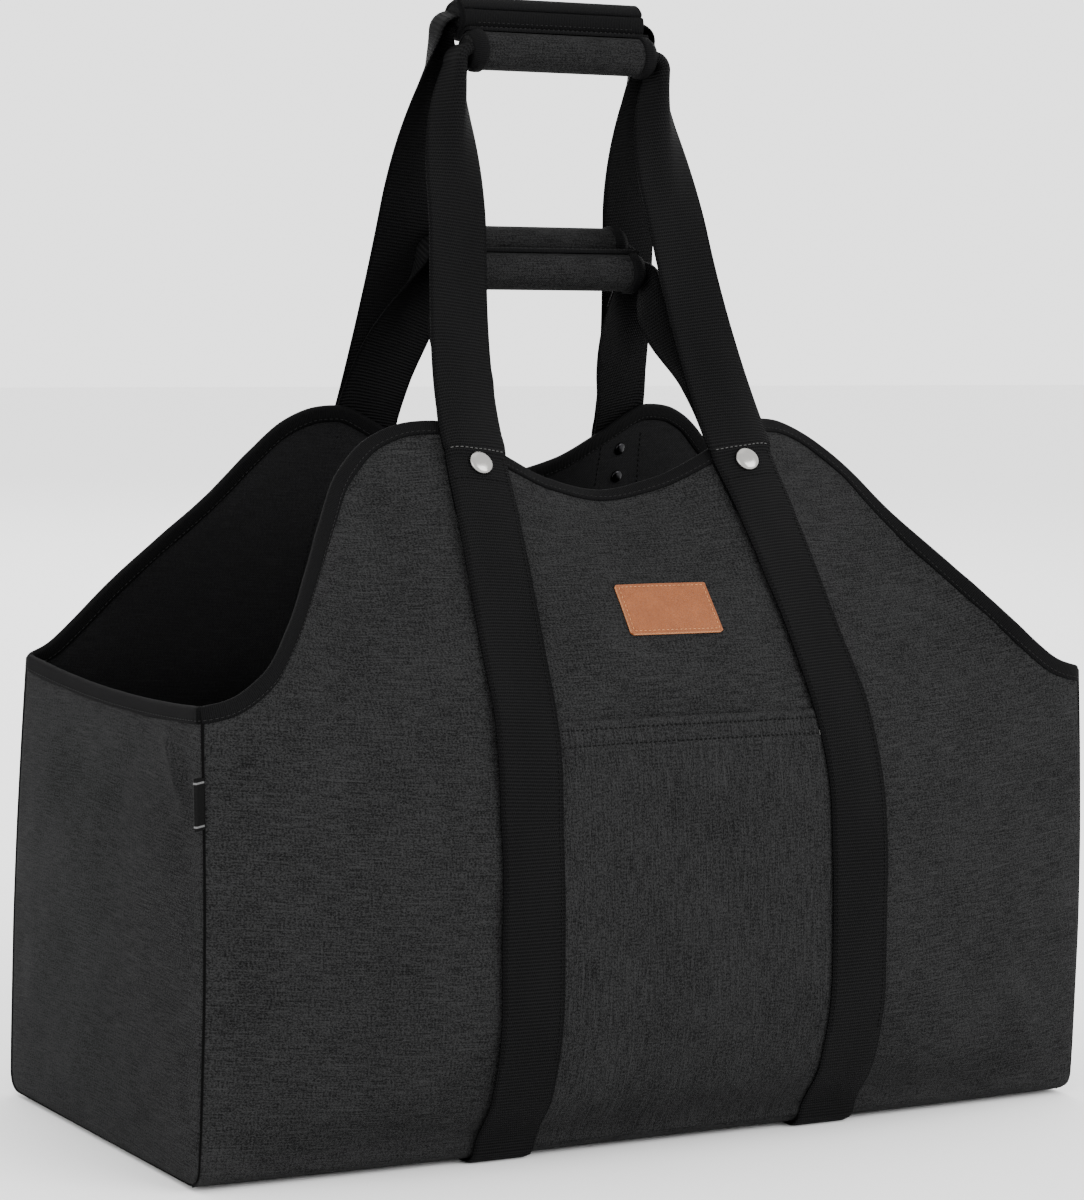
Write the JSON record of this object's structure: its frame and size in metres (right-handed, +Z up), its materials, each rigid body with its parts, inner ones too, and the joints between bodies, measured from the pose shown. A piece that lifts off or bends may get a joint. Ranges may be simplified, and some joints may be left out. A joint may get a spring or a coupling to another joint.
{
  "type": "firewood bag",
  "caption": "Open canvas log carrier with a high double-humped rim, a front pocket and webbing handles with padded canvas grips.",
  "frame": {"origin": "on the floor under the middle of the bag", "axes": "X along the bag from end to end, -Y towards its front with the pocket and patch, +Z up"},
  "size_m": [0.5958, 0.3151, 0.6347],
  "materials": {
    "canvas_main": "matt waxed cotton canvas in heathered charcoal",
    "canvas_end": "matt waxed cotton canvas in heathered charcoal",
    "canvas_pocket": "matt waxed cotton canvas in heathered charcoal",
    "grip_canvas": "matt waxed cotton canvas in heathered charcoal over soft padding",
    "webbing": "matt ribbed black webbing",
    "binding_tape": "matt black woven tape",
    "tab_tape": "matt black woven tape",
    "patch_leather": "smooth tan vegetable-tanned leather",
    "rivet_metal": "polished nickel plate"
  },
  "bodies": {
    "root": {"main_panel": "canvas_main", "end_panel_left": "canvas_end", "end_panel_right": "canvas_end", "rim_binding": "binding_tape", "front_pocket": "canvas_pocket", "leather_patch": "patch_leather", "side_tab": "tab_tape", "long_strap_front": "webbing", "long_strap_back": "webbing", "short_strap_front": "webbing", "short_strap_back": "webbing", "long_grip_front": "grip_canvas", "long_grip_back": "grip_canvas", "short_grip_front": "grip_canvas", "short_grip_back": "grip_canvas", "cap_rivet_front_left": "rivet_metal", "cap_rivet_front_right": "rivet_metal", "cap_rivet_back_left": "rivet_metal", "cap_rivet_back_right": "rivet_metal", "lower_rivet_front_left": "rivet_metal", "lower_rivet_front_right": "rivet_metal", "lower_rivet_back_left": "rivet_metal", "lower_rivet_back_right": "rivet_metal"}
  },
  "joints": []
}
